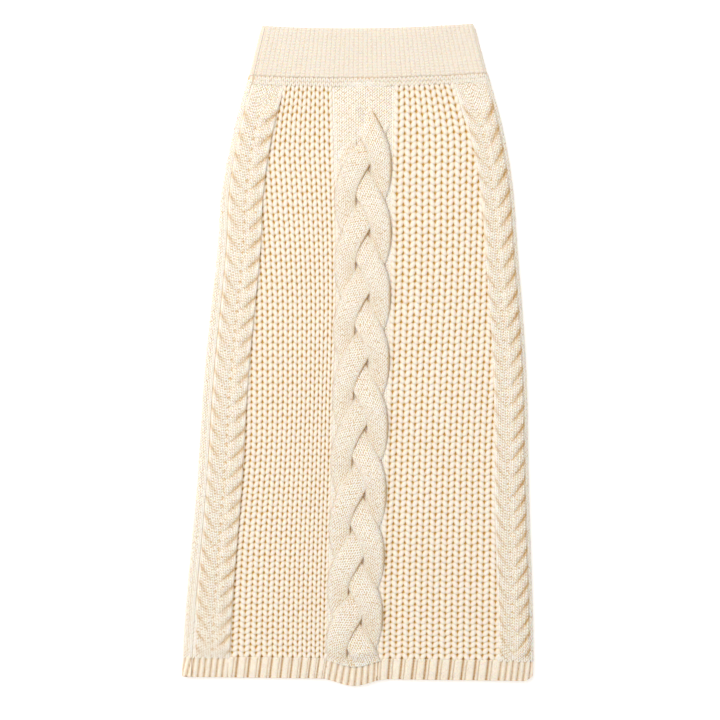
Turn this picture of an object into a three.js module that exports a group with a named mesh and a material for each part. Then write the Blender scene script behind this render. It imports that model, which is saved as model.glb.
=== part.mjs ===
// A long cable-knit pull-on skirt, laid flat on its back with the front up.
// Millimetres, +Z up, waist towards +Y. The origin is under the middle of the skirt's box.
//
// Every piece is a stretch of one flattened tube. A place on the tube is told by
//   down - how far below the waist edge it is, along the skirt
//   s    - how far round the tube it is from the middle of the front, to the wearer's left (+X)
//   lift - how far out from the tube's outer face it is (a wall's inner face is at -WALL)
import * as THREE from 'three';

// Cut of the skirt
const LENGTH = 848; // waist edge to hem, down the side
const WAISTBAND = 65; // height of the folded waistband
const HEM = 27; // height of the ribbed border
const WALL = 4.5; // thickness of the chunky knit
const SEAM_GAP = 0.3; // between neighbouring pieces
const WAIST_ROUNDING = 1.4; // each face of the waistband's top rim is rounded in by this
const HEM_ROUNDING = 0.9; // and each face of the hem's rim by this

// How it lies: [down, flat width, how far the middle lies to the right]
const FLAT_WIDTH = [
  [0, 278, 13],
  [65, 311, 13.5],
  [133, 348, 13.5],
  [211, 377, 12.5],
  [289, 389, 12.5],
  [445, 417, 10],
  [601, 431, 6.5],
  [757, 450, 2],
  [848, 457, 0],
];

// Side folds, and how the two layers lie on each other
const FOLD_RADIUS = 6; // outer radius of the side folds
const FOLD_STEPS = 6; // facets round a fold
const FRONT_STEPS = 26; // facets across the front between the folds
const BACK_STEPS = 14; // and across the back
const PANEL_ROWS = 13; // and down both panels
const LEFT_SEAM_INSET = [7, 13]; // the left side seam lies in view, this far in from the left fold
const LEFT_SEAM_LOW = 400; // at the waist and from this far down
const RIGHT_SEAM_UNDER = 2; // the right side seam lies this far in under the right fold
const LAYER_GAP = 0.4; // least gap between front and back
const HOLLOW = 2 * FOLD_RADIUS - 2 * WALL - LAYER_GAP; // deepest the front may sink from the folds
const TROUGH_SIDE = 52; // the soft trough lies this far right of the braid's middle
const TROUGH_REACH = 17; // half its width
const TROUGH_FADE = [80, 500]; // it deepens between these, down
const FIELD_HOLLOW = 0.45; // share of HOLLOW in the fields between the trough and the folds
const FOLD_PUFF = 48; // width beside each fold where the layers part

// Waist and hem lines
const EDGE_TILT = 0.011; // the waist lines rise to the right by this slope
const EDGE_DIP = 4.5; // and sag by this in the middle
const WAIST_PULL = [65, 424]; // the waist's lines straighten out between these, down
const HEM_PULL = [509, 848]; // and the hem's lines take over between these
const HEM_TILT = 0.012; // the hem line falls to the right by this slope
const HEM_LOBE = 9; // the braid pulls the hem down by this below its foot
const HEM_LOBE_REACH = 44; // over this distance each side
const CORNER_CUT = 6; // the right hem corner is rounded up by this
const CORNER_REACH = 12; // over this distance from the fold

// Braid: three strands crossing over each other
const BRAID_SIDE = -5.3; // its middle lies this far from the middle of the front
const BRAID_HALF = 35; // half its width
const STRAND_SWING = 23; // how far a strand's middle swings from the braid's middle
const STRAND_HALF = 14; // half a strand's width
const STRAND_PERIOD = 255; // one whole swing, there and back
const STRAND_CROWN = 3.6; // how far a strand is crowned
const STRAND_OVER = 3.2; // how far a strand rises and sinks as it crosses
const BRAID_GROUND = 1.2; // thickness of the braid at its edges
const FIRST_CROSSING = 120; // the first strand crosses the middle this far below the waist edge
const TIGHTER = 0.06; // share of a swing gained where the braid draws together above the hem
const TIGHTER_FROM = 640; // from this far down
const BRAID_START = [85, 140]; // the strands rise out of a plain band between these, down
const PLAIN_CROWN = 2; // how far that band is crowned
const BRAID_ROWS = 64; // facets down the braid

// Side cables: ropes that meet in V shapes
const CABLE_HALF = 19; // half a cable's width
const LEFT_CABLE = [
  [65, 27],
  [133, 28],
  [211, 32],
  [367, 35],
  [601, 35.5],
  [848, 39],
]; // [down, how far the left cable's middle lies in from the left fold]
const RIGHT_CABLE_INSET = 25; // the right cable's middle lies this far in from the right fold
const ROPES = 31; // ropes down a cable
const ROPE_PACKING = 0.73; // the lowest rope is this much of the height of the top one
const ROPE_RISE = 22; // how much higher a rope's outer end is than its inner end
const ROPE_CREST = 0.52; // a rope is thickest at this share of the way out
const ROPE_TAPER = 8; // the ropes lie level at the cable's ends, over a length / this
const ROPE_CROWN = 4.2; // thickness at a rope's crown
const ROPE_CREASE = 2.2; // thickness between two ropes
const CABLE_EDGE = 1; // thickness at the cable's edges and down its middle

const clamp = THREE.MathUtils.clamp;
const mix = THREE.MathUtils.lerp;
const ease = THREE.MathUtils.smoothstep; // ease(x, low, high)

// The value at x of a smooth curve through [x, value, ...] stations.
function along(stations, x, column = 1) {
  const last = stations.length - 1;
  const value = (k) => stations[clamp(k, 0, last)][column];
  const at = (k) => stations[clamp(k, 0, last)][0];
  const slope = (k) => (value(k + 1) - value(k - 1)) / (at(k + 1) - at(k - 1));
  let i = 0;
  while (i < last - 1 && x > at(i + 1)) i += 1;
  const span = at(i + 1) - at(i);
  const t = clamp((x - at(i)) / span, 0, 1);
  const t2 = t * t;
  const t3 = t2 * t;
  return (2 * t3 - 3 * t2 + 1) * value(i) + (t3 - 2 * t2 + t) * span * slope(i)
    + (3 * t2 - 2 * t3) * value(i + 1) + (t3 - t2) * span * slope(i + 1);
}

const widthAt = (down) => along(FLAT_WIDTH, down, 1);
const middleAt = (down) => along(FLAT_WIDTH, down, 2);
const flatHalf = (down) => widthAt(down) / 2 - FOLD_RADIUS; // middle to where a fold starts
const girth = (down) => 4 * flatHalf(down) + 2 * Math.PI * FOLD_RADIUS;
const leftSeam = (down) => mix(...LEFT_SEAM_INSET, ease(down, 0, LEFT_SEAM_LOW)) - widthAt(down) / 2;
const rightSeam = (down) => flatHalf(down) + Math.PI * FOLD_RADIUS + RIGHT_SEAM_UNDER;

// How far the front layer sinks below the height of the folds, s from the middle of the front.
function sink(down, s) {
  const fromFold = flatHalf(down) - Math.abs(s);
  const field = FIELD_HOLLOW * ease(fromFold, 0, FOLD_PUFF);
  const reach = clamp((s - BRAID_SIDE - TROUGH_SIDE) / TROUGH_REACH, -1, 1);
  const trough = (1 - FIELD_HOLLOW) * Math.cos(reach * Math.PI / 2) ** 2;
  return HOLLOW * (field + trough * ease(down, ...TROUGH_FADE) * ease(fromFold, 0, FOLD_PUFF));
}

// How far a line across the skirt is moved up or down at x.
function edgeShift(down, x) {
  const fromMiddle = x - middleAt(down);
  const across = fromMiddle / (widthAt(down) / 2);
  const waist = EDGE_TILT * fromMiddle - EDGE_DIP * (1 - across * across);
  const reach = clamp((fromMiddle - BRAID_SIDE) / HEM_LOBE_REACH, -1, 1);
  const lobe = HEM_LOBE * Math.cos(reach * Math.PI / 2) ** 2;
  const corner = CORNER_CUT * ease(fromMiddle, widthAt(down) / 2 - CORNER_REACH, widthAt(down) / 2);
  const hem = -HEM_TILT * fromMiddle - lobe + corner * ease(down, LENGTH - HEM, LENGTH);
  return mix(waist * (1 - ease(down, ...WAIST_PULL)), hem, ease(down, ...HEM_PULL));
}

// The point at (down, s), lift out from the tube's outer face.
function onTube(down, s, lift) {
  const round = girth(down);
  const wrapped = s > round / 2 ? s - round : s;
  const side = Math.sign(wrapped);
  const reach = Math.abs(wrapped);
  const flat = flatHalf(down);
  const fold = Math.PI * FOLD_RADIUS;
  let out = reach;
  let z = 2 * FOLD_RADIUS - sink(down, wrapped) + lift;
  if (reach > flat + fold) {
    out = 2 * flat + fold - reach;
    z = -lift;
  } else if (reach > flat) {
    const turn = (reach - flat) / FOLD_RADIUS;
    out = flat + (FOLD_RADIUS + lift) * Math.sin(turn);
    z = FOLD_RADIUS + (FOLD_RADIUS + lift) * Math.cos(turn);
  }
  const x = middleAt(down) + side * out;
  return new THREE.Vector3(x, LENGTH / 2 - down + edgeShift(down, x), z);
}

// Shares from 0 to 1 in equal steps.
const steps = (count) => Array.from({ length: count + 1 }, (_, i) => i / count);

// A closed wall. rows and columns are shares down and across it; place(row, column) gives [down, s];
// outer(row, column) and inner(row, column) give the lifts of its two faces.
function wall(name, colour, rows, columns, place, outer, inner) {
  const across = columns.length;
  const layer = rows.length * across;
  const points = [];
  for (const lift of [outer, inner]) {
    for (const row of rows) {
      for (const column of columns) {
        const [down, s] = place(row, column);
        points.push(...onTube(down, s, lift(row, column)).toArray());
      }
    }
  }
  const faces = [];
  const quad = (a, b, c, d) => faces.push(a, b, c, a, c, d);
  for (let i = 0; i + 1 < rows.length; i += 1) {
    for (let j = 0; j + 1 < across; j += 1) {
      const a = i * across + j;
      quad(a, a + across, a + across + 1, a + 1);
      quad(layer + a, layer + a + 1, layer + a + across + 1, layer + a + across);
    }
    const left = i * across;
    const right = left + across - 1;
    quad(left, layer + left, layer + left + across, left + across);
    quad(right, right + across, layer + right + across, layer + right);
  }
  for (let j = 0; j + 1 < across; j += 1) {
    const top = j;
    const bottom = (rows.length - 1) * across + j;
    quad(top, top + 1, layer + top + 1, layer + top);
    quad(bottom, layer + bottom, layer + bottom + 1, bottom + 1);
  }
  const geometry = new THREE.BufferGeometry();
  geometry.setAttribute('position', new THREE.Float32BufferAttribute(points, 3));
  geometry.setIndex(faces);
  geometry.computeVertexNormals();
  const material = new THREE.MeshStandardMaterial({ color: colour, roughness: 0.95, metalness: 0 });
  const mesh = new THREE.Mesh(geometry, material);
  mesh.name = name;
  return mesh;
}

const IVORY = 0xf0dfc6;
const IVORY_LIGHT = 0xf3e8d6;
const IVORY_WARM = 0xead7b9;

// The distances round the tube where a panel needs a column, from one seam to the other.
function panelColumns(down, from, to, flatSteps) {
  const flat = flatHalf(down);
  const fold = Math.PI * FOLD_RADIUS;
  const round = girth(down);
  const marks = [from, to];
  const edges = [flat, flat + fold, round - flat - fold, round - flat];
  for (const start of [edges[0], edges[2]]) {
    for (const share of steps(FOLD_STEPS)) marks.push(start + share * fold);
  }
  const stretches = [
    [Math.max(from, -flat), flat],
    [edges[1], edges[2]],
  ];
  for (const [low, high] of stretches) {
    for (const share of steps(flatSteps)) marks.push(mix(low, high, share));
  }
  const apart = 0.5;
  const inside = marks.filter((s) => s > from + apart && s < to - apart).sort((a, b) => a - b);
  const kept = inside.filter((s, i) => i === 0 || s - inside[i - 1] > apart);
  return [from, ...kept, to];
}

// A stretch of tube wall between two heights and two seams. edge(row) thins its rims.
function tubePiece(name, colour, low, high, seams, rows, flatSteps, edge = () => 0) {
  const half = SEAM_GAP / 2;
  const downAt = (row) => mix(low + half, high - half, row);
  const marks = rows.map((row) => {
    const [from, to] = seams(downAt(row));
    return panelColumns(downAt(row), from + half, to - half, flatSteps);
  });
  const place = (row, column) => [downAt(row), marks[rows.indexOf(row)][column]];
  const columns = marks[0].map((_, i) => i);
  return wall(name, colour, rows, columns, place, (row) => -edge(row), (row) => edge(row) - WALL);
}

const frontSeams = (down) => [leftSeam(down), rightSeam(down)];
const backSeams = (down) => [rightSeam(down), girth(down) + leftSeam(down)];

// The two panels of the body, chunky rib.
function bodyPanels() {
  const rows = steps(PANEL_ROWS);
  const foot = LENGTH - HEM;
  const front = tubePiece('front_panel', IVORY, WAISTBAND, foot, frontSeams, rows, FRONT_STEPS);
  const back = tubePiece('back_panel', IVORY, WAISTBAND, foot, backSeams, rows, BACK_STEPS);
  return [front, back];
}

// The waistband, folded over at the waist: its top rim is rounded.
function waistband() {
  const rows = [0, 0.04, 0.12, 0.5, 1];
  const edge = (row) => WAIST_ROUNDING * (1 - ease(row, 0, rows[2]));
  const top = [0, WAISTBAND];
  const front = tubePiece('waistband_front', IVORY_LIGHT, ...top, frontSeams, rows, FRONT_STEPS / 2, edge);
  const back = tubePiece('waistband_back', IVORY_LIGHT, ...top, backSeams, rows, BACK_STEPS / 2, edge);
  return [front, back];
}

// The ribbed border, drawn in a little at its lower rim.
function hemBorder() {
  const rows = [0, 0.5, 0.85, 1];
  const edge = (row) => HEM_ROUNDING * ease(row, rows[1], 1);
  const foot = [LENGTH - HEM, LENGTH];
  const front = tubePiece('hem_front', IVORY_WARM, ...foot, frontSeams, rows, FRONT_STEPS, edge);
  const back = tubePiece('hem_back', IVORY_WARM, ...foot, backSeams, rows, BACK_STEPS, edge);
  return [front, back];
}

// How thick the braid is at (down, x from its middle): the highest of its three strands.
function braidLift(down, x) {
  const started = ease(down, ...BRAID_START);
  const plain = PLAIN_CROWN * (1 - started) * Math.cos(x / BRAID_HALF * Math.PI / 2);
  const swings = (down - FIRST_CROSSING) / STRAND_PERIOD + TIGHTER * ease(down, TIGHTER_FROM, LENGTH - HEM);
  const heights = [0, 1, 2].map((strand) => {
    const turn = 2 * Math.PI * (swings + strand / 3);
    const off = clamp((x - STRAND_SWING * Math.sin(turn)) / STRAND_HALF, -1, 1);
    return STRAND_OVER * (1 + Math.sin(2 * turn)) + STRAND_CROWN * Math.sqrt(1 - off * off);
  });
  return Math.max(BRAID_GROUND + plain, started * Math.max(...heights));
}

function braid() {
  const top = WAISTBAND + SEAM_GAP;
  const foot = LENGTH - HEM - SEAM_GAP;
  const place = (row, column) => [mix(top, foot, row), BRAID_SIDE + mix(-1, 1, column) * BRAID_HALF];
  const outer = (row, column) => {
    const [down, s] = place(row, column);
    const rim = column === 0 || column === 1 ? BRAID_GROUND : braidLift(down, s - BRAID_SIDE);
    return SEAM_GAP + rim;
  };
  return wall('front_braid', IVORY_LIGHT, steps(BRAID_ROWS), steps(8), place, outer, () => SEAM_GAP);
}

// A cable of ropes that slope down from both edges to its middle, which lies at middle(down).
function ropeCable(name, middle) {
  const top = WAISTBAND + SEAM_GAP;
  const foot = LENGTH - HEM - SEAM_GAP;
  const crown = ROPE_CREST * CABLE_HALF;
  const columns = [-CABLE_HALF, -crown, 0, crown, CABLE_HALF];
  const rows = steps(2 * ROPES);
  const place = (row, column) => {
    const side = Math.abs(column) / CABLE_HALF;
    const taper = Math.min(1, ROPE_TAPER * row, ROPE_TAPER * (1 - row));
    const share = (1 - ROPE_PACKING ** row) / (1 - ROPE_PACKING);
    const down = mix(top, foot, share) + taper * ROPE_RISE * (0.5 - side);
    return [down, middle(down) + column];
  };
  const outer = (row, column) => {
    const onCrown = Math.round(row * 2 * ROPES) % 2 === 1;
    const rise = onCrown ? ROPE_CROWN : ROPE_CREASE;
    const share = 1 - Math.abs(Math.abs(column) - crown) / (CABLE_HALF - crown);
    return SEAM_GAP + mix(CABLE_EDGE, rise, Math.max(0, share));
  };
  return wall(name, IVORY_LIGHT, rows, columns, place, outer, () => SEAM_GAP);
}

function sideCables() {
  const left = (down) => along(LEFT_CABLE, down) - widthAt(down) / 2;
  const right = (down) => widthAt(down) / 2 - RIGHT_CABLE_INSET;
  return [ropeCable('front_cable_left', left), ropeCable('front_cable_right', right)];
}

const skirt = new THREE.Group();
skirt.add(...bodyPanels(), ...waistband(), ...hemBorder(), braid(), ...sideCables());

// The origin goes under the middle of the box.
const box = new THREE.Box3().setFromObject(skirt);
skirt.position.set(-(box.min.x + box.max.x) / 2, -(box.min.y + box.max.y) / 2, -box.min.z);

export default skirt;
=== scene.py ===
"""A long cable-knit pull-on skirt, laid flat with its front up: the looks.

Shapes are worked out in millimetres on the flattened tube that the skirt is, as in its CAD source:
  down - how far below the waist edge, along the skirt
  s    - how far round the tube from the middle of the front, to the wearer's left (+X)
  lift - how far out from the tube's outer face
"""
import math

import bpy
import numpy as np
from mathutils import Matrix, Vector


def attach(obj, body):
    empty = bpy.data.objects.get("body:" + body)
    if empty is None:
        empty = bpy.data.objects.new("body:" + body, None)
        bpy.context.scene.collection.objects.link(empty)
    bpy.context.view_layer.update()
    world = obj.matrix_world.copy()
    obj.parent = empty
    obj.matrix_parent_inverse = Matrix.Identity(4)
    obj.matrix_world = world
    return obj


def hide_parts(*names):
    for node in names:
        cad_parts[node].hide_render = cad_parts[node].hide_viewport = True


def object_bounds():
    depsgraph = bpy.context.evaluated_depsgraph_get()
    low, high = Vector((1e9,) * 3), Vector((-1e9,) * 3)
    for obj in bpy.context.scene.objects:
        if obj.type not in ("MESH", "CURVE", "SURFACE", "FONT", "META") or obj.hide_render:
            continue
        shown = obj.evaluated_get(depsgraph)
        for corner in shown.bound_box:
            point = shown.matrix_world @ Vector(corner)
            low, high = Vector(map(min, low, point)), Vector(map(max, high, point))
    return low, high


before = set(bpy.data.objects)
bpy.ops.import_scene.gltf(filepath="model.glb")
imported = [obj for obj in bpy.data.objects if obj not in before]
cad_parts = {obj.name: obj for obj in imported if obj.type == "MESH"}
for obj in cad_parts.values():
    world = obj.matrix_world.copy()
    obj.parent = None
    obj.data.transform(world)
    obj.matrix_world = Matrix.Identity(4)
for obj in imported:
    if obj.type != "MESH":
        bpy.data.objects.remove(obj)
CAD_LOW, CAD_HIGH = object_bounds()
MM = 0.001
TAU = 2 * math.pi

# Cut of the skirt, as in the CAD source
LENGTH = 848
WAISTBAND = 65
HEM = 27
FOOT = LENGTH - HEM
WALL = 4.5
SEAM_GAP = 0.3
FOLD_RADIUS = 6
FOLD = math.pi * FOLD_RADIUS
FLAT_WIDTH = [  # down, flat width, how far the middle lies to the right
    (0, 278, 13), (65, 311, 13.5), (133, 348, 13.5), (211, 377, 12.5), (289, 389, 12.5),
    (445, 417, 10), (601, 431, 6.5), (757, 450, 2), (848, 457, 0)]
LEFT_SEAM_INSET = (7, 13)
LEFT_SEAM_LOW = 400
RIGHT_SEAM_UNDER = 2

# How the two layers lie on each other
LAYER_GAP = 0.4
HOLLOW = 2 * FOLD_RADIUS - 2 * WALL - LAYER_GAP
TROUGH_SIDE = 52
TROUGH_REACH = 17
TROUGH_FADE = (80, 500)
FIELD_HOLLOW = 0.45
FOLD_PUFF = 48
UNDER_TUCK = 1.1

# Waist and hem lines
EDGE_TILT = 0.011
EDGE_DIP = 4.5
WAIST_PULL = (65, 424)
HEM_PULL = (509, 848)
HEM_TILT = 0.012
HEM_LOBE = 9
HEM_LOBE_REACH = 44
CORNER_CUT = 6
CORNER_REACH = 12

# Braid
BRAID_SIDE = -5.3
BRAID_HALF = 35
STRAND_SWING = 23
STRAND_HALF = 14
STRAND_PERIOD = 255
STRAND_CROWN = 3.6
STRAND_OVER = 2.7
FIRST_CROSSING = 120
TIGHTER = 0.06
TIGHTER_FROM = 640
STRAND_WALES = 9
STRAND_ROUNDNESS = 2.4  # power that squares a strand's section
STRAND_START = ((90, 118), (110, 140), (122, 156))  # the strands rise out of the plain knitting here
START_SLANT = 30  # and their left edges this much further down than their right ones
STRAND_SUNK = 2.5  # they are this deep in it above
STRAND_FADE = 18  # they flatten over this length above the hem
STRAND_END_DROP = 0.92  # by this share
CROSSING_HALF = 12  # further than this from the braid's middle, a strand sinks towards its outer edge
OUTER_SIDE = 0.45  # from this share of its half width out
OUTER_DROP = 0.65  # by this share of the height of a crossing
# Painted shade on the strands: in the creases on their right, which the light from the upper left leaves in
# shade, along their left edges, where they pass underneath, and along the braid's right edge
CREASE_REACH = (18, 32)  # the creases fade out between these distances from the braid's middle
CREASE_SIDE = (0.62, 0.9)  # and deepen between these shares of a strand's half width, on its right
CREASE_SHADE = 0.9
LEFT_EDGE_SHADE = 0.3
LEFT_EDGE_FROM = 0.75
UNDER_SHADE = 0.2  # where a strand passes underneath
RIGHT_EDGE_SHADE = 0.7
RIGHT_EDGE_WIDTH = 5

# The plain knitting that the braid lies on
PLAIN_CROWN = 1.6
BED_MARGIN = 6
BED_DROP = 0.8
BED_OVERLAP = 0.3  # in half ribs, over the chunky rib beside it
BED_SWELL = 2.6  # left of the first strand's start it rises by this many crowns
BED_SWELL_BEGINS = (75, 115)
BED_SWELL_ENDS = (128, 160)
BED_SWELL_EDGE = (-4, 9)  # and ends between these distances right of that strand's middle

# Side cables
LEFT_CABLE = [(65, 27), (133, 28), (211, 32), (367, 35), (601, 35.5), (848, 39)]
LEFT_CABLE_HALVES = (20, 25.5)  # widths left and right of its middle
RIGHT_CABLE_MIDDLE = 26.5
RIGHT_CABLE_HALVES = (16, 19.5)
CABLE_LAP = 1.5  # the cables' plain knitting laps over the chunky rib by this
ROPES = 31
ROPE_PACKING = 0.73  # height of the last rope, as a share of the first
ROPES_BEGIN = (0.8, 1.8)  # the ropes start at this count below the waistband
ROPE_RISE = 22  # how much higher they end than they meet
ROPE_BOW = 1.35  # power that bows their V
ROPE_REACH = 1.15  # they go on this far, as a share of the cable's width
ROPE_LEVEL = 40  # they turn level within this length of the waistband and the hem
ROPE_ROUNDNESS = 0.42
ROPE_FLOOR = 0.6
ROPE_CROWN = 3.7
ROPE_FLAT_SIDE = 0.6  # those left of the middle are flatter, by this factor
ROPE_MEETING = 0.45  # and all are lower where they meet, by this factor
ROPE_MEETING_WIDTH = 0.35
ROPE_EDGE = (1, 1.12)  # they round off between these shares of the cable's width
ROPE_FADE = 10  # they flatten over this length above the hem
ROPE_FADE_DROP = 0.8
ROPE_INNER_CREASE = 0.7  # painted shade of the creases between them, towards the middle and towards the edge
ROPE_OUTER_CREASE = 0.5
ROPE_INNER_SIDE = (0.1, 0.6)
ROPE_OUTER_SIDE = (0.6, 1)
ROPE_CREASE_SHADE = 1.2
ROPE_DARKEST = 0.95
MIDDLE_DOT = 1.5  # half width of the dots of painted shade down a cable's middle
CABLE_LIFT = 0.2

# Chunky rib: down, distance from the braid's middle to the first valley, half a rib's width, how
# much wider each half rib is than the one before
LEFT_RIBS = [
    (65, 41, 5.2, 0), (100, 40, 5.7, 0), (121, 39, 6.05, 0), (165, 37.4, 6.35, 0.01), (206, 36, 5.9, 0.035),
    (291, 34.2, 5.5, 0.045), (356, 33.6, 5.05, 0.06), (422, 34, 4.8, 0.068), (487, 35, 4.55, 0.074),
    (552, 34.6, 4.8, 0.06), (678, 34.8, 5.0, 0.07), (821, 34, 5.0, 0.08)]
RIGHT_RIBS = [
    (65, 39.5, 6.2, 0), (100, 38.5, 7.2, 0), (143, 37.2, 8.0, 0), (206, 35.8, 8.4, -0.02),
    (291, 35.5, 8.4, -0.03), (356, 35, 8.2, -0.02), (422, 34.5, 7.8, 0), (552, 32.5, 7.7, 0),
    (678, 31, 7.7, 0.01), (821, 31, 7.8, 0.01)]
ROW_PITCH = (9.7, 7.6)  # height of a row of chunky rib, at the waistband and at the hem
FIRST_ROW = 68  # the middle of the first row lies this far down
ROWS = 94
FIELD_WALES = 20  # the most wales in a field
FIELD_UNDERLAP = 3  # the rib goes on this far under the side cables
FOOT_LAP = 2.5  # the stitches above the hem lap over it by this
LEFT_FIELD_INSET = [(65, 49), (133, 50), (211, 53), (367, 56), (601, 57.5), (821, 60)]
RIGHT_FIELD_INSET = [(65, 47), (110, 46), (170, 41), (400, 41), (601, 43), (821, 45)]

# Fine stitches
WALE = 4.5  # width of a plain stitch
COURSE = 3.5  # and its height
LEG_MIDDLE = 0.25  # the legs of a stitch lie this far either side of its middle, in wales
LEG_MARGIN = 0.8  # and their middles stay this far inside the edges of a zone
BAND_MARGIN = 1.5  # and this far inside the seams of a border
GROUND_DEPTH = 0.22  # painted shade of the cloth between the stitches
EDGE_DEPTH = 0.66  # and its painted shade along the edges of a zone
EDGE_BLEND = (2, 6)
ZONE_STEP = (2.5, 2.2)
ZONE_GROUND = 0.6  # it lies this far below the stitches
STRAND_GROUND = 0.5
SEAM_GROOVE = 0.5
SEAM_GROOVE_REACH = 3
# painted shade down the seams' grooves, this much for each millimetre of groove
SEAM_SHADE = 0.15
STRIP_LIFT = 0.1

# Waistband, joining rows and hem
FINE_RIB = 6.3  # width of a rib of the waistband, at its seam
FINE_COURSE = 3.7
FINE_RELIEF = (-1.2, -0.7)  # lifts of its valleys and ribs
FINE_DEPTHS = (0.6, 0.8)  # and their painted shades
FINE_TOP = 0.65  # the stitches of the waistband lie this far under the tube's face
FINE_VALLEY = 0.2
FINE_FOLD_DROP = 0.3  # and sink by this much more as they come to a fold
WAIST_ROUND = (1.4, 8)  # how far the waist edge is rounded off, and over what length
JOIN_WALE = 5.2
JOIN_COURSE = 5.5
JOIN_LIFT = 0.6
JOIN_FOLD_DROP = 1.5
HEM_RIB = 7.8
HEM_LEAN = 0.1
HEM_FAN = 0.12
HEM_ROUND = (0.9, 10)
HEM_RELIEF = (-2.6, 0.2)  # lifts of its valleys and ribs
HEM_DEPTHS = (0.4, 1)  # and the painted shades of the stitches there
HEM_FOLD_DROP = 0.4
HEM_DEEP_VALLEY = 0.1  # half widths of its two valleys, in chunky ribs
HEM_THIN_VALLEY = 0.06
HEM_THIN_PLACE = 0.3  # where the thin one lies
HEM_THIN_DEPTH = 0.6
FOLD_REACH = 4  # border stitches sink over this length as they come to a fold
MARGIN = SEAM_GAP / 2

# Ground and back
GROUND_FACES = (-2.6, -WALL + 0.1)  # lifts of its outer and inner faces
GROUND_STEP = (6, 5)
BACK_STEP = (3, 3.3)
BACK_RIB = 13.2
BACK_ROW = 8.6
BACK_RELIEF = 1.6
BACK_ROW_RELIEF = 0.4
BACK_FOLD_LIFT = -1.2
BACK_INNER = -WALL + 0.2


# ---------------------------------------------------------------- curves and the tube

def ease(x, low, high):
    """Smooth step from 0 at low to 1 at high."""
    t = np.clip((x - low) / (high - low), 0, 1)
    return t * t * (3 - 2 * t)


def mix(a, b, share):
    return a + (b - a) * share


def along(stations, x, column=1):
    """The value at x of a smooth curve through (x, value, ...) stations."""
    table = np.array(stations, float)
    at, value = table[:, 0], table[:, column]
    before = np.clip(np.arange(len(at)) - 1, 0, None)
    after = np.clip(np.arange(len(at)) + 1, None, len(at) - 1)
    slope = (value[after] - value[before]) / (at[after] - at[before])
    x = np.asarray(x, float)
    i = np.clip(np.searchsorted(at, x, side="left") - 1, 0, len(at) - 2)
    span = at[i + 1] - at[i]
    t = np.clip((x - at[i]) / span, 0, 1)
    t2, t3 = t ** 2, t ** 3
    return ((2 * t3 - 3 * t2 + 1) * value[i] + (t3 - 2 * t2 + t) * span * slope[i]
            + (3 * t2 - 2 * t3) * value[i + 1] + (t3 - t2) * span * slope[i + 1])


def width_at(down):
    return along(FLAT_WIDTH, down, 1)


def middle_at(down):
    return along(FLAT_WIDTH, down, 2)


def flat_half(down):
    return width_at(down) / 2 - FOLD_RADIUS


def girth(down):
    return 4 * flat_half(down) + 2 * FOLD


def left_seam(down):
    return mix(*LEFT_SEAM_INSET, ease(down, 0, LEFT_SEAM_LOW)) - width_at(down) / 2


def right_seam(down):
    return flat_half(down) + FOLD + RIGHT_SEAM_UNDER


def sink(down, s):
    """How far the front layer sinks below the height of the folds."""
    from_fold = flat_half(down) - np.abs(s)
    puff = ease(from_fold, 0, FOLD_PUFF)
    reach = np.clip((s - BRAID_SIDE - TROUGH_SIDE) / TROUGH_REACH, -1, 1)
    trough = (1 - FIELD_HOLLOW) * np.cos(reach * math.pi / 2) ** 2
    return HOLLOW * (FIELD_HOLLOW * puff + trough * ease(down, *TROUGH_FADE) * puff)


def tuck(down, s):
    """How far the outer face is pressed in where the cloth goes round under a fold."""
    return UNDER_TUCK * ease(np.abs(s), flat_half(down) + FOLD / 2, flat_half(down) + FOLD)


def edge_shift(down, x):
    """How far a line across the skirt is moved up or down at x."""
    from_middle = x - middle_at(down)
    half = width_at(down) / 2
    waist = EDGE_TILT * from_middle - EDGE_DIP * (1 - (from_middle / half) ** 2)
    reach = np.clip((from_middle - BRAID_SIDE) / HEM_LOBE_REACH, -1, 1)
    lobe = HEM_LOBE * np.cos(reach * math.pi / 2) ** 2
    corner = CORNER_CUT * ease(from_middle, half - CORNER_REACH, half)
    hem = -HEM_TILT * from_middle - lobe + corner * ease(down, FOOT, LENGTH)
    return mix(waist * (1 - ease(down, *WAIST_PULL)), hem, ease(down, *HEM_PULL))


def tube(down, s, lift):
    """The points at (down, s), lift out from the tube's outer face, in millimetres."""
    down, s, lift = np.broadcast_arrays(*(np.asarray(v, float) for v in (down, s, lift)))
    wrapped = np.where(s > girth(down) / 2, s - girth(down), s)
    side = np.sign(wrapped)
    reach = np.abs(wrapped)
    flat = flat_half(down)
    turn = np.clip((reach - flat) / FOLD_RADIUS, 0, math.pi)
    on_fold = flat + (FOLD_RADIUS + lift) * np.sin(turn)
    fold_z = FOLD_RADIUS + (FOLD_RADIUS + lift) * np.cos(turn)
    above = reach <= flat
    below = reach > flat + FOLD
    out = np.where(above, reach, np.where(below, 2 * flat + FOLD - reach, on_fold))
    z = np.where(above, 2 * FOLD_RADIUS - sink(down, wrapped) + lift, np.where(below, -lift, fold_z))
    x = middle_at(down) + side * out
    y = LENGTH / 2 - down + edge_shift(down, x)
    return np.stack([x, y, z], -1)


def frame_shift():
    """How far the tube is moved so that it lies as the CAD model does."""
    rim = np.linspace(-1, 1, 400) * width_at(0) / 2
    top = tube(np.full(400, SEAM_GAP / 2), rim, np.zeros(400))[:, 1].max()
    return np.array([0, CAD_HIGH.y / MM - top, 0])


SHIFT = frame_shift()


# ---------------------------------------------------------------- meshes

def grid_faces(rows, columns, start=0):
    """Quads of a grid of rows x columns points, its first point numbered start, facing up where
    rows run down the skirt and columns run to the right."""
    index = start + np.arange(rows * columns).reshape(rows, columns)
    return np.stack([index[:-1, :-1], index[1:, :-1], index[1:, 1:], index[:-1, 1:]], -1).reshape(-1, 4)


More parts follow.
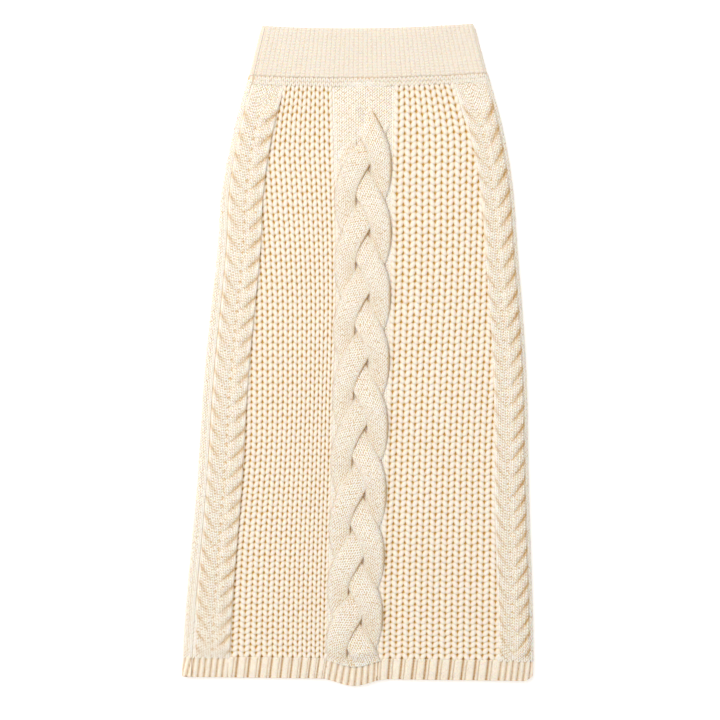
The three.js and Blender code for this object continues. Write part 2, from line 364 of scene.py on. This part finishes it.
def make_piece(name, parts, material):
    """A smooth mesh, riding on the skirt, from parts of (points in millimetres, quads, depths). The
    depth of a point sets its painted shade: 0 down in a crevice, darkest, and 1 on a crest, unshaded."""
    starts = np.cumsum([0] + [len(points) for points, _, _ in parts])
    faces = np.concatenate([quads + start for (_, quads, _), start in zip(parts, starts)]).astype(np.int32)
    points = (np.concatenate([points for points, _, _ in parts]) + SHIFT) * MM
    depths = np.concatenate([depths for _, _, depths in parts])
    mesh = bpy.data.meshes.new(name)
    mesh.vertices.add(len(points))
    mesh.vertices.foreach_set("co", points.astype(np.float32).ravel())
    mesh.loops.add(faces.size)
    mesh.loops.foreach_set("vertex_index", faces.ravel())
    mesh.polygons.add(len(faces))
    mesh.polygons.foreach_set("loop_start", np.arange(0, faces.size, 4, dtype=np.int32))
    mesh.polygons.foreach_set("use_smooth", np.ones(len(faces), bool))
    mesh.update(calc_edges=True)
    mesh.attributes.new("depth", "FLOAT", "POINT").data.foreach_set("value", depths.astype(np.float32))
    mesh.materials.append(material)
    piece = bpy.data.objects.new(name, mesh)
    bpy.context.scene.collection.objects.link(piece)
    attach(piece, "root")
    return piece


def slab(down, s, outer, inner, depth):
    """A closed wall over the grids down and s, with its outer and inner lifts."""
    rows, columns = down.shape
    layer = rows * columns
    points = np.concatenate([tube(down, s, outer).reshape(-1, 3), tube(down, s, inner).reshape(-1, 3)])
    index = np.arange(layer).reshape(rows, columns)
    faces = [grid_faces(rows, columns), grid_faces(rows, columns, layer)[:, ::-1]]
    for rim in (index[:, 0], index[::-1, -1], index[0, ::-1], index[-1, :]):
        faces.append(np.stack([rim[:-1], rim[:-1] + layer, rim[1:] + layer, rim[1:]], -1))
    depths = np.concatenate([np.broadcast_to(depth, down.shape).ravel(), np.full(layer, 0.6)])
    return points, np.concatenate(faces), depths


def sheet(down, s, lift, depth, root):
    """An open face over the grids down and s, its four edges turned down to the lift root."""
    def framed(values, edge=None):
        values = np.pad(np.broadcast_to(values, shape), 1, mode="edge")
        if edge is not None:
            values[0], values[-1], values[:, 0], values[:, -1] = edge, edge, edge, edge
        return values
    shape = down.shape
    points = tube(framed(down), framed(s), framed(lift, root))
    return points.reshape(-1, 3), grid_faces(shape[0] + 2, shape[1] + 2), framed(depth).ravel()


# ---------------------------------------------------------------- knitting

LEG_LAP = 0.04  # the legs of a stitch go on this far past its edge and middle, in half wales
LEG_BLUNT = 0.03  # how blunt their ends are, as a share of their length
# Of a stitch's legs: points along and across; slant and half thicknesses, at the ends and the middle,
# in rows; lifts of its sides and crest, in millimetres; how uneven they are; how little plump parts
# darken at their sides with painted shade
CHUNKY_LEG = {"grid": (8, 6), "slant": 0.56, "half": (0.2, 0.76), "lift": (-2.9, 0.7),
              "mess": 0.04, "soft": 0.7}
JOIN_LEG = {"grid": (4, 4), "slant": 0.55, "half": (0.24, 0.6), "lift": (-0.5, 0.6),
            "mess": 0.08, "soft": 0.7}
PLAIN_LEG = {"grid": (3, 4), "slant": 1.0, "half": (0.2, 0.6), "lift": (-0.9, 0.6),
             "mess": 0.1, "soft": 0.8}


def both_legs(wales, courses):
    """(wale, course, side) of the two legs of every stitch, one to a row."""
    grid = np.meshgrid(np.asarray(wales), np.asarray(courses), (-1, 1), indexing="ij")
    return np.stack([part.ravel() for part in grid], -1).astype(float)


def leg_middle(legs):
    """How many wales to the right the middle of each leg lies."""
    return legs[:, 0] + 0.5 + LEG_MIDDLE * legs[:, 2]


def knit(legs, place, leg, seed=1):
    """Plump legs of stitches, each pair of which meets in a V, point down. place(u, v), u in wales and v
    in courses, gives how far down and round, the lift of the cloth there and its painted light: 1 unshaded,
    less where shade is painted."""
    wale, course, side = (legs[:, k][:, None, None] for k in range(3))
    rows, columns = leg["grid"]
    t = np.linspace(0, 1, rows)[None, :, None]  # from the wale's edge to its middle
    across = np.sin(np.linspace(-1, 1, columns) * math.pi / 2)[None, None, :]
    plump = np.sin(math.pi * mix(LEG_BLUNT, 1 - LEG_BLUNT, t))
    mess = np.random.default_rng(seed).normal(0, leg["mess"], (3, len(legs), 1, 1))
    u = wale + 0.5 + side * 0.5 * mix(1 + LEG_LAP, -LEG_LAP, t)
    half = mix(*leg["half"], plump ** 1.3) * (1 + mess[0])
    v = course + leg["slant"] * (t - 0.5) + half * across + mess[1]
    down, s, lift, painted_light = place(*np.broadcast_arrays(u, v))
    dome = np.sqrt(1 - across ** 2) ** 0.7 * (0.3 + 0.7 * plump ** 0.6) * (1 + mess[2])
    points = tube(down, s, lift + mix(*leg["lift"], dome))
    # Painted shade: legs darken at their sides and thin ends, where holes and crevices lie in shade, and
    # with the painted light of the cloth they lie on
    side_shade = (1 - leg["soft"] * plump) * across ** 2 * 1.1
    depths = np.broadcast_to(painted_light * np.clip(1 - side_shade, 0, 1) * (0.8 + 0.2 * plump), down.shape)
    faces = grid_faces(rows, columns)[None] + (np.arange(len(legs)) * rows * columns)[:, None, None]
    faces = np.where(side > 0, faces, faces[:, :, ::-1])
    return points.reshape(-1, 3), faces.reshape(-1, 4), depths.ravel()


# ---------------------------------------------------------------- materials

FIBRE_SCALE = 900  # noise scales, in waves a metre: fibres, lumps in the yarn, clouds of colour
LUMP_SCALE = 330
CLOUD_SCALE = 14
FUZZ_HEIGHT = 0.5 * MM
MOTTLE = 0.25  # how much fibres and lumps each change the depth that the colour follows


def wool(name, crest, shade, full=1.0):
    """Ivory wool: pale from the depth full up, and warm and darker in the crevices below that, as painted
    shade; with fibres and fuzz.
    """
    material = bpy.data.materials.new(name)
    material.use_nodes = True
    tree = material.node_tree
    nodes, links = tree.nodes, tree.links
    shader = nodes["Principled BSDF"]
    shader.inputs["Specular IOR Level"].default_value = 0.05
    shader.inputs["Sheen Weight"].default_value = 0.04
    shader.inputs["Sheen Roughness"].default_value = 0.5
    shader.inputs["Subsurface Weight"].default_value = 0.3
    shader.inputs["Subsurface Radius"].default_value = (1, 0.55, 0.25)
    shader.inputs["Subsurface Scale"].default_value = 0.002
    place = nodes.new("ShaderNodeTexCoord")

    def noise(scale, detail):
        node = nodes.new("ShaderNodeTexNoise")
        node.inputs["Scale"].default_value = scale
        node.inputs["Detail"].default_value = detail
        node.inputs["Roughness"].default_value = 0.65
        links.new(place.outputs["Object"], node.inputs["Vector"])
        return node.outputs["Fac"]

    def math_node(operation, first, second, third=None):
        node = nodes.new("ShaderNodeMath")
        node.operation = operation
        for socket, value in zip(node.inputs, (first, second, third)):
            if value is None:
                continue
            if isinstance(value, float):
                socket.default_value = value
            else:
                links.new(value, socket)
        return node.outputs[0]

    def ramp(value, low, high, top=1.0):
        node = nodes.new("ShaderNodeValToRGB")
        node.color_ramp.elements[0].color = (*low, 1)
        node.color_ramp.elements[1].color = (*high, 1)
        node.color_ramp.elements[1].position = top
        links.new(value, node.inputs["Fac"])
        return node.outputs["Color"]

    fibre, lumps, cloud = noise(FIBRE_SCALE, 4), noise(LUMP_SCALE, 2), noise(CLOUD_SCALE, 3)
    depth = nodes.new("ShaderNodeAttribute")
    depth.attribute_name = "depth"
    mixed = math_node("ADD", math_node("MULTIPLY", fibre, MOTTLE), math_node("MULTIPLY", lumps, MOTTLE))
    level = math_node("SUBTRACT", math_node("ADD", depth.outputs["Fac"], mixed), MOTTLE)
    tint = nodes.new("ShaderNodeMix")
    tint.data_type = "RGBA"
    tint.blend_type = "MULTIPLY"
    tint.inputs["Factor"].default_value = 0.6
    links.new(ramp(level, shade, crest, full), tint.inputs["A"])
    links.new(ramp(cloud, (0.95, 0.91, 0.84), (1, 1, 1)), tint.inputs["B"])
    links.new(tint.outputs["Result"], shader.inputs["Base Color"])

    fuzz = nodes.new("ShaderNodeBump")
    fuzz.inputs["Strength"].default_value = 0.5
    fuzz.inputs["Distance"].default_value = FUZZ_HEIGHT
    links.new(mixed, fuzz.inputs["Height"])
    links.new(fuzz.outputs["Normal"], shader.inputs["Normal"])
    links.new(math_node("MULTIPLY_ADD", fibre, 0.2, 0.8), shader.inputs["Roughness"])
    return material


# Crest colours are the wool's own; SHADE, SOFT_SHADE and the other dark colours are painted shade for
# crevices and holes, and the ground material is painted shade throughout
CREST = (0.885, 0.817, 0.745)
SHADE = (0.66, 0.405, 0.07)
SOFT_SHADE = (0.60, 0.335, 0.09)
CHUNKY = wool("wool_chunky", CREST, SHADE)
GROUND_PAINTED_SHADE = wool("wool_ground_painted_shade", (0.62, 0.385, 0.10), (0.46, 0.27, 0.06))
PLAIN = wool("wool_plain", (0.98, 0.94, 0.87), SOFT_SHADE, 0.82)
FINE = wool("wool_fine_rib", (0.86, 0.81, 0.745), (0.62, 0.44, 0.26))
BORDER = wool("wool_border", (0.92, 0.83, 0.71), (0.46, 0.24, 0.06), 0.95)


# ---------------------------------------------------------------- sampling helpers

def lattice(low, high, row_step, left, right, column_step):
    """Grids of down and s between two heights and two lines left(down) and right(down)."""
    rows = max(2, round((high - low) / row_step))
    down = np.linspace(low, high, rows + 1)
    widest = np.max(right(down) - left(down))
    columns = max(2, round(widest / column_step))
    share = np.linspace(0, 1, columns + 1)
    s = left(down)[:, None] + (right(down) - left(down))[:, None] * share[None, :]
    return np.broadcast_to(down[:, None], s.shape).copy(), s


def left_field_edge(down):
    return along(LEFT_FIELD_INSET, down) - width_at(down) / 2


def right_field_edge(down):
    return width_at(down) / 2 - along(RIGHT_FIELD_INSET, down)


# ---------------------------------------------------------------- braid

def swing(down, strand):
    """How far through its swings a strand is, as an angle."""
    swings = (down - FIRST_CROSSING) / STRAND_PERIOD + TIGHTER * ease(down, TIGHTER_FROM, FOOT)
    return TAU * (swings + strand / 3)


def strand_place(strand):
    """Where the stitches of a strand lie: it swings from side to side, on top while it moves out and
    underneath while it moves in."""
    def place(u, v):
        bend = np.clip(2 * u / STRAND_WALES - 1, -1, 1)
        middle = WAISTBAND + v * COURSE
        turn = swing(middle, strand)
        out = STRAND_HALF * np.sin(bend * math.pi / 2)
        lean = STRAND_SWING * np.cos(turn) * TAU / STRAND_PERIOD
        down = np.clip(middle - out * lean, WAISTBAND, FOOT + FOOT_LAP)
        s = BRAID_SIDE + STRAND_SWING * np.sin(turn) + out
        begun = ease(down - START_SLANT * ease(-bend, -1, 1), *STRAND_START[strand])
        ended = ease(down, FOOT - STRAND_FADE, FOOT)
        round_top = np.clip(1 - np.abs(out / STRAND_HALF) ** STRAND_ROUNDNESS, 0, 1) ** 0.5
        outward = ease(bend * np.clip((s - BRAID_SIDE) / CROSSING_HALF, -1, 1), OUTER_SIDE, 1)
        over = STRAND_OVER * (1 + np.sin(2 * turn)) * (1 - OUTER_DROP * outward)
        raised = over + STRAND_CROWN * round_top
        lift = begun * raised * (1 - STRAND_END_DROP * ended) - STRAND_SUNK * (1 - begun)
        # Painted shade: creases, edges and the parts underneath come out darker
        near_middle = 1 - ease(np.abs(s - BRAID_SIDE), *CREASE_REACH)
        under = UNDER_SHADE * (1 - np.sin(2 * turn)) / 2 * near_middle
        widest = STRAND_SWING + STRAND_HALF
        right_edge_shade_mask = ease(s - BRAID_SIDE, widest - RIGHT_EDGE_WIDTH, widest)
        right_crease_shade = CREASE_SHADE * ease(bend, *CREASE_SIDE) * near_middle
        crease_shade = right_crease_shade + LEFT_EDGE_SHADE * ease(-bend, LEFT_EDGE_FROM, 1)
        painted_light = (1 - crease_shade) * (1 - under) * (1 - RIGHT_EDGE_SHADE * right_edge_shade_mask)
        return down, s, lift, painted_light
    return place


def braid_strand(strand):
    """One strand: a crowned band of plain knitting."""
    place = strand_place(strand)
    courses = (FOOT - WAISTBAND) / COURSE
    u, v = np.meshgrid(np.linspace(0, STRAND_WALES, 2 * STRAND_WALES + 1), np.arange(1, courses + 4, 1.5))
    down, s, lift, painted_light = place(u, v)
    ground = sheet(down, s, lift - STRAND_GROUND, GROUND_DEPTH * painted_light, -1)
    legs = both_legs(range(STRAND_WALES), np.arange(1, courses + 4))
    stitches = knit(legs, place, PLAIN_LEG, seed=strand)
    return make_piece(f"braid_strand_{strand + 1}", [ground, stitches], PLAIN)


def zone(name, left, right, locate, surface, wales, seed, root=-3.5):
    """Plain knitting between the lines left(down) and right(down). locate(u, v) gives where a place in
    wales and courses lies; surface(down, s) gives the lift of the cloth and its painted light, less where
    shade is painted."""
    down, s = lattice(WAISTBAND, FOOT, ZONE_STEP[0], left, right, ZONE_STEP[1])
    lift, painted_light = surface(down, s)
    # Painted shade on the cloth between the stitches, lighter near the zone's edges
    from_edge = np.minimum(s - left(down), right(down) - s)
    depth = painted_light * mix(EDGE_DEPTH, GROUND_DEPTH, ease(from_edge, *EDGE_BLEND))
    ground = sheet(down, s, lift - ZONE_GROUND, depth, root)

    def place(u, v):
        down, s = locate(u, v)
        down = np.clip(down, WAISTBAND, FOOT + FOOT_LAP)
        return (down, s, *surface(down, s))
    legs = both_legs(range(*wales), np.arange(0, (FOOT - WAISTBAND) / COURSE + 8) - 4)
    down, s = locate(leg_middle(legs), legs[:, 1])
    inside = (s > left(down) + LEG_MARGIN) & (s < right(down) - LEG_MARGIN)
    inside = inside & (down > WAISTBAND + COURSE) & (down < FOOT + COURSE)
    return make_piece(name, [ground, knit(legs[inside], place, PLAIN_LEG, seed)], PLAIN)


def braid_bed():
    """The plain knitting that the strands lie on, which shows above them and beside them."""
    def locate(u, v):
        return WAISTBAND + v * COURSE, BRAID_SIDE + u * WALE

    def surface(down, s):
        crown = np.cos(np.clip((s - BRAID_SIDE) / (BRAID_HALF + BED_MARGIN), -1, 1) * math.pi / 2)
        first_strand = BRAID_SIDE + STRAND_SWING * np.sin(swing(down, 0))
        rising = ease(down, *BED_SWELL_BEGINS) * (1 - ease(down, *BED_SWELL_ENDS))
        swell = rising * (1 - ease(s - first_strand, *BED_SWELL_EDGE))
        ended = ease(down, FOOT - STRAND_FADE, FOOT)
        return PLAIN_CROWN * crown * (1 + BED_SWELL * swell) * (1 - ended) - BED_DROP, np.ones_like(s)
    return zone("braid_bed", lambda d: rib_line(LEFT_RIBS, -1, d, BED_OVERLAP),
                lambda d: rib_line(RIGHT_RIBS, 1, d, BED_OVERLAP), locate, surface,
                wales=(-11, 11), seed=11)


# ---------------------------------------------------------------- chunky rib

def row_down(v):
    """How far down row v of chunky rib lies; the rows are lower towards the hem."""
    growth = (ROW_PITCH[1] - ROW_PITCH[0]) / (FOOT - WAISTBAND)
    return FIRST_ROW + ROW_PITCH[0] * (np.exp(growth * v) - 1) / growth


def rib_line(ribs, side, down, half_rib):
    """s of the line that many half ribs out from the braid."""
    first, step, growth = (along(ribs, down, k) for k in (1, 2, 3))
    return BRAID_SIDE + side * (first + step * half_rib + growth * half_rib ** 2)


def chunky_field(name, ribs, side, edge):
    """Plump slanting legs in chains, whose V shapes point down, between the braid and a cable."""
    def place(u, v):
        down = np.clip(row_down(v), WAISTBAND, FOOT + FOOT_LAP)
        return down, rib_line(ribs, side, down, 2 * side * u), 0, 1
    wales = np.arange(0, FIELD_WALES) if side > 0 else np.arange(-FIELD_WALES, 0)
    legs = both_legs(wales, range(1, ROWS + 1))
    down = row_down(legs[:, 1])
    middle = rib_line(ribs, side, down, 2 * side * leg_middle(legs))
    kept = (down < FOOT + 1) & (side * (middle - edge(down)) < FIELD_UNDERLAP)
    return make_piece(name, [knit(legs[kept], place, CHUNKY_LEG, seed=7 + side)], CHUNKY)


# ---------------------------------------------------------------- side cables

def rope_drop(side):
    """How far below its own middle height a rope lies, at this share of the way out from where it meets
    the one on the other side."""
    return ROPE_RISE * (0.5 - np.clip(side, 0, ROPE_REACH) ** ROPE_BOW)


def cable(name, left, right, middle, halves, seam, seed, middle_shade):
    """Plain knitting with a cable of ropes on it, from a side seam to the chunky rib. halves are the
    widths of the cable left and right of its middle(down); middle_shade is how dark the dots of painted
    shade are there."""
    def side_of(off):
        return np.abs(off) / np.where(off < 0, *halves)

    def locate(u, v):
        off = u * WALE
        down = WAISTBAND + v * COURSE
        near_end = np.clip(np.minimum(down - WAISTBAND, FOOT - down) / ROPE_LEVEL, 0, 1)
        down = down + rope_drop(side_of(off)) * near_end
        return down, middle(down) + off

    def surface(down, s):
        off = s - middle(down)
        side = side_of(off)
        share = np.clip((down - rope_drop(side) - WAISTBAND) / (FOOT - WAISTBAND), 0, 1.1)
        rope = ROPES * np.log(1 - share * (1 - ROPE_PACKING)) / math.log(ROPE_PACKING)
        body = np.abs(np.sin(math.pi * rope)) ** ROPE_ROUNDNESS
        shown = ease(rope, *ROPES_BEGIN) * (1 - ROPE_FADE_DROP * ease(down, FOOT - ROPE_FADE, FOOT))
        meeting = mix(ROPE_MEETING, 1, ease(side, 0, ROPE_MEETING_WIDTH))
        swell = meeting * (1 - ease(side, *ROPE_EDGE))
        flatter = np.where(off < 0, ROPE_FLAT_SIDE, 1)
        height = (ROPE_FLOOR + ROPE_CROWN * body * flatter) * swell * shown
        groove = SEAM_GROOVE * (1 - ease(np.abs(s - seam(down)), 0, SEAM_GROOVE_REACH))
        # Painted shade: creases between the ropes, fainter on the flatter left half, and dots down the
        # middle
        inner = ROPE_INNER_CREASE * ease(side, *ROPE_INNER_SIDE)
        outer = ROPE_OUTER_CREASE * ease(side, *ROPE_OUTER_SIDE)
        crease_shade = (1 - body) * (inner + outer) * (side < ROPE_EDGE[1]) * flatter
        dots = middle_shade * np.exp(-(off / MIDDLE_DOT) ** 2) * (0.5 + 0.5 * np.cos(2 * TAU * rope)) ** 4
        shade = shown * np.clip(ROPE_CREASE_SHADE * crease_shade + dots, 0, ROPE_DARKEST)
        return height + CABLE_LIFT - groove - tuck(down, s), 1 - shade - SEAM_SHADE * groove
    return zone(name, left, right, locate, surface, wales=(-9, 12), seed=seed)


def left_cable():
    return cable("cable_left", lambda d: left_seam(d) + MARGIN, lambda d: left_field_edge(d) + CABLE_LAP,
                 lambda d: along(LEFT_CABLE, d) - width_at(d) / 2, LEFT_CABLE_HALVES, left_seam,
                 seed=21, middle_shade=1)


def right_cable():
    return cable("cable_right", lambda d: right_field_edge(d) - CABLE_LAP, lambda d: right_seam(d) - MARGIN,
                 lambda d: width_at(d) / 2 - RIGHT_CABLE_MIDDLE, RIGHT_CABLE_HALVES, right_seam,
                 seed=22, middle_shade=0.6)


# ---------------------------------------------------------------- panels, waistband and hem

def front_ground():
    """The front's wall under its stitches, which shows between them, coloured dark tan as painted shade."""
    down, s = lattice(WAISTBAND + MARGIN, FOOT - MARGIN, GROUND_STEP[0],
                      lambda d: left_seam(d) + MARGIN, lambda d: right_seam(d) - MARGIN, GROUND_STEP[1])
    outer, inner = (np.full(down.shape, lift) for lift in GROUND_FACES)
    return make_piece("front_panel_cloth", [slab(down, s, outer, inner, 0.5)], GROUND_PAINTED_SHADE)


def back_cloth():
    """The back, in chunky rib, as far round the left fold as the left seam."""
    down, s = lattice(WAISTBAND + MARGIN, FOOT - MARGIN, BACK_STEP[0],
                      lambda d: right_seam(d) + MARGIN, lambda d: girth(d) + left_seam(d) - MARGIN,
                      BACK_STEP[1])
    rib = 0.5 - 0.5 * np.cos(TAU * s / BACK_RIB)
    beat = 0.5 + 0.5 * np.cos(TAU * down / BACK_ROW)
    lift = -BACK_RELIEF * (1 - rib ** 0.5) - BACK_ROW_RELIEF * beat
    on_fold = s > girth(down) - flat_half(down) - FOLD
    lift = np.where(on_fold, BACK_FOLD_LIFT, lift)
    # Painted shade: darker in the rib valleys
    wall = slab(down, s, lift, np.full(down.shape, BACK_INNER), np.clip(0.35 + 0.6 * rib, 0, 1))
    return make_piece("back_panel_cloth", [wall], CHUNKY)


def left_strip():
    """The plain edge of the back, which comes round the left fold to the seam."""
    def locate(u, v):
        down = WAISTBAND + v * COURSE
        return down, left_seam(down) + u * WALE

    def surface(down, s):
        groove = SEAM_GROOVE * (1 - ease(left_seam(down) - s, 0, SEAM_GROOVE_REACH))
        return STRIP_LIFT - groove - tuck(down, s), 1 - SEAM_SHADE * groove
    return zone("left_edge_strip", lambda d: -flat_half(d) - FOLD, lambda d: left_seam(d) - MARGIN,
                locate, surface, wales=(-8, 0), seed=23, root=-1)


def joining_rows():
    """Two rows of short stitches where the waistband is joined on, right across the front."""
    def place(u, v):
        down = WAISTBAND + JOIN_COURSE * v
        beyond = ease(np.abs(JOIN_WALE * u), flat_half(down), flat_half(down) + FOLD)
        return down, JOIN_WALE * u, JOIN_LIFT - JOIN_FOLD_DROP * beyond, 1
    legs = both_legs(range(-40, 44), (0.5, 1.5))
    middle = JOIN_WALE * (legs[:, 0] + 0.5)
    down = WAISTBAND + JOIN_COURSE
    kept = (middle > left_seam(down) + BAND_MARGIN) & (middle < right_seam(down) - BAND_MARGIN)
    down, s = lattice(WAISTBAND + SEAM_GAP, WAISTBAND + 2 * JOIN_COURSE, 3, left_seam, right_seam, 6)
    beyond = ease(np.abs(s), flat_half(down), flat_half(down) + FOLD)
    # painted shade on the cloth between the stitches
    ground = sheet(down, s, JOIN_LIFT - 0.5 - beyond, 0.3, -2)
    return make_piece("joining_rows", [ground, knit(legs[kept], place, JOIN_LEG, seed=31)], FINE)


def band(name, low, high, left, right, ribs, material, rounding, row_step, column_step):
    """A ribbed border: a closed wall whose outer face is ribs(down, s) high, rounded at its rim."""
    down, s = lattice(low, high, row_step, left, right, column_step)
    height, deep = ribs(down, s)
    edge = rounding(down)
    wall = slab(down, s, height - edge, np.full(down.shape, -WALL) + edge, deep)
    return make_piece(name, [wall], material)


def fine_ribs(down, s):
    """One stitch up, one stitch down."""
    ridge = 0.5 + 0.5 * np.cos(TAU * (s / fine_pitch(down) + 0.5))
    return mix(*FINE_RELIEF, ridge ** 0.7), mix(*FINE_DEPTHS, ridge)


def fine_pitch(down):
    return FINE_RIB * width_at(down) / width_at(WAISTBAND)


def waistband_stitches():
    """The stitches of the waistband's ribs that stand up, on its front."""
    def place(u, v):
        down = SEAM_GAP + 0.5 + v * FINE_COURSE
        s = u * fine_pitch(down)
        valley = 0.5 + 0.5 * np.cos(TAU * u)
        lift = -FINE_TOP - FINE_VALLEY * valley - waist_rounding(down)
        lift = lift - FINE_FOLD_DROP * near_fold(down, s)
        # Painted shade: darker in the rib valleys
        return down, s, lift, 1 - 0.15 * valley
    count = int((WAISTBAND - 1) / FINE_COURSE)
    legs = both_legs(range(-24, 28), np.arange(count) + 0.5)
    down = SEAM_GAP + legs[:, 1] * FINE_COURSE
    middle = leg_middle(legs) * fine_pitch(down)
    kept = (middle > left_seam(down) + BAND_MARGIN) & (middle < right_seam(down) - BAND_MARGIN)
    return make_piece("waistband_stitches", [knit(legs[kept], place, PLAIN_LEG, seed=32)], FINE)


def waist_rounding(down):
    return WAIST_ROUND[0] * (1 - ease(down, 0, WAIST_ROUND[1]))


def hem_rounding(down):
    return HEM_ROUND[0] * ease(down, LENGTH - HEM_ROUND[1], LENGTH)


def near_fold(down, s):
    """0 on the flat front, 1 round its folds."""
    return ease(np.abs(s), flat_half(down), flat_half(down) + FOLD_REACH)


def hem_ribs(down, s):
    """Ribs that carry on the chunky ribs above, and plain ones below the braid and cables. They lean to
    the left on their way down, and fan out below the braid."""
    at = np.full_like(down, FOOT)
    below = down - FOOT
    off = s - BRAID_SIDE
    off = off * (1 - HEM_FAN * np.exp(-(off / BRAID_HALF) ** 2) * below / HEM) + HEM_LEAN * below
    height = np.abs(np.cos(math.pi * off / HEM_RIB)) ** 0.6
    for side, ribs, edge in ((-1, LEFT_RIBS, left_field_edge), (1, RIGHT_RIBS, right_field_edge)):
        first, step, growth = (along(ribs, at, k) for k in (1, 2, 3))
        reach = side * off - first
        half_rib = 2 * reach / (step + np.sqrt(np.maximum(step ** 2 + 4 * growth * reach, 1)))
        phase = (half_rib / 2) % 1
        deep_valley = np.exp(-((np.minimum(phase, 1 - phase)) / HEM_DEEP_VALLEY) ** 2)
        thin_valley = HEM_THIN_DEPTH * np.exp(-((phase - HEM_THIN_PLACE) / HEM_THIN_VALLEY) ** 2)
        in_field = (reach > 0) & (side * (s - edge(at)) < 0)
        height = np.where(in_field, 1 - np.maximum(deep_valley, thin_valley), height)
    return mix(*HEM_RELIEF, height), np.clip(height, 0, 1)


def hem_stitches():
    """The stitches of the hem's ribs, on its front."""
    def place(u, v):
        down = FOOT + SEAM_GAP + v * COURSE
        s = u * WALE
        lift, depth = hem_ribs(down, s)
        lift = lift - hem_rounding(down) - HEM_FOLD_DROP * near_fold(down, s)
        return down, s, lift, mix(*HEM_DEPTHS, depth)
    legs = both_legs(range(-52, 56), np.arange(int(HEM / COURSE)) + 0.5)
    down = FOOT + legs[:, 1] * COURSE
    middle = leg_middle(legs) * WALE
    kept = (middle > left_seam(down) + BAND_MARGIN) & (middle < right_seam(down) - BAND_MARGIN)
    return make_piece("hem_stitches", [knit(legs[kept], place, PLAIN_LEG, seed=33)], BORDER)


FRONT_SEAMS = (left_seam, right_seam)
BACK_SEAMS = (right_seam, lambda down: girth(down) + left_seam(down))


def waist_and_hem():
    """The four walls of the borders, by the node that each replaces."""
    front = (lambda d: left_seam(d) + MARGIN, lambda d: right_seam(d) - MARGIN)
    back = (lambda d: right_seam(d) + MARGIN, lambda d: girth(d) + left_seam(d) - MARGIN)
    waist = (fine_ribs, FINE, waist_rounding)
    hem = (hem_ribs, BORDER, hem_rounding)
    top, low, foot = MARGIN, WAISTBAND - MARGIN, FOOT + MARGIN
    made = {}
    made["waistband_front"] = band("waistband_front_cloth", top, low, *front, *waist, 2.4, 1.4)
    made["waistband_back"] = band("waistband_back_cloth", top, low, *back, *waist, 3, 1.6)
    made["hem_front"] = band("hem_front_cloth", foot, LENGTH, *front, *hem, 1.8, 1.05)
    made["hem_back"] = band("hem_back_cloth", foot, LENGTH, *back, *hem, 3, 1.6)
    return made


# ---------------------------------------------------------------- floor, light and camera

# In metres, from the skirt's centre
KEY_PLACE = (-1.15, 0.95, 2.35)
KEY_SIZE = 1.8
KEY_WATTS = 50
CAMERA_AIM = (0.00325, -0.00715, 0)
VIEW_WIDTH = 0.936  # how much the camera sees across, at the floor
LENS = 100
SENSOR = 36

def stage():
    """A wide white floor just under the skirt."""
    size = 6
    corners = [(-size, -size, 0), (size, -size, 0), (size, size, 0), (-size, size, 0)]
    mesh = bpy.data.meshes.new("floor")
    mesh.from_pydata(corners, [], [(0, 1, 2, 3)])
    floor = bpy.data.objects.new("floor", mesh)
    floor.location.z = -0.5 * MM
    bpy.context.scene.collection.objects.link(floor)
    white = bpy.data.materials.new("floor_white")
    white.use_nodes = True
    shader = white.node_tree.nodes["Principled BSDF"]
    shader.inputs["Base Color"].default_value = (0.95, 0.95, 0.95, 1)
    shader.inputs["Roughness"].default_value = 1
    shader.inputs["Specular IOR Level"].default_value = 0
    shader.inputs["Emission Color"].default_value = (1, 1, 1, 1)
    shader.inputs["Emission Strength"].default_value = 0.25
    mesh.materials.append(white)


def area_light(name, place, target, size, watts):
    light = bpy.data.lights.new(name, "AREA")
    light.size = size
    light.energy = watts
    lamp = bpy.data.objects.new(name, light)
    lamp.location = place
    lamp.rotation_euler = (Vector(target) - Vector(place)).to_track_quat("-Z", "Y").to_euler()
    bpy.context.scene.collection.objects.link(lamp)


def light_and_camera():
    """Soft light from all round, a broad light high above the upper left, and a camera straight above."""
    scene = bpy.context.scene
    world = bpy.data.worlds.new("studio")
    world.use_nodes = True
    world.node_tree.nodes["Background"].inputs["Color"].default_value = (1, 0.98, 0.95, 1)
    world.node_tree.nodes["Background"].inputs["Strength"].default_value = 0.76
    scene.world = world
    scene.view_settings.view_transform = "Standard"
    centre = (CAD_LOW + CAD_HIGH) / 2
    area_light("key", centre + Vector(KEY_PLACE), centre, KEY_SIZE, KEY_WATTS)
    camera = bpy.data.cameras.new("camera")
    camera.lens = LENS
    camera.sensor_width = SENSOR
    aim = centre + Vector(CAMERA_AIM)
    holder = bpy.data.objects.new("camera", camera)
    holder.location = (aim.x, aim.y, VIEW_WIDTH * LENS / SENSOR)
    scene.collection.objects.link(holder)
    scene.camera = holder


# ---------------------------------------------------------------- the skirt

def declare(seams, top, foot):
    """Works out a piece's width between its seams at 50 heights, in metres; nothing uses the widths."""
    down = np.linspace(top, foot, 50)
    widths = (seams[1](down) - seams[0](down)) * MM


def build():
    """Makes the skirt's pieces and hides the CAD parts that they stand in for."""
    ground = front_ground()
    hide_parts("front_panel")
    strands = [braid_strand(k) for k in range(3)]
    bed = braid_bed()
    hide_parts("front_braid")
    fields = [chunky_field("ribs_left", LEFT_RIBS, -1, left_field_edge),
              chunky_field("ribs_right", RIGHT_RIBS, 1, right_field_edge)]
    cables = [left_cable(), right_cable()]
    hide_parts("front_cable_left")
    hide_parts("front_cable_right")
    back = back_cloth()
    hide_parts("back_panel")
    strip = left_strip()
    joined = joining_rows()
    bands = waist_and_hem()
    for node, piece in bands.items():
        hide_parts(node)
    extras = {"waistband_front": [waistband_stitches()], "hem_front": [hem_stitches()]}
    declare(FRONT_SEAMS, WAISTBAND, FOOT)
    declare(BACK_SEAMS, WAISTBAND, FOOT)
    for border, top, foot in (("waistband", 0, WAISTBAND), ("hem", FOOT, LENGTH)):
        declare(FRONT_SEAMS, top, foot)
        declare(BACK_SEAMS, top, foot)


build()
stage()
light_and_camera()
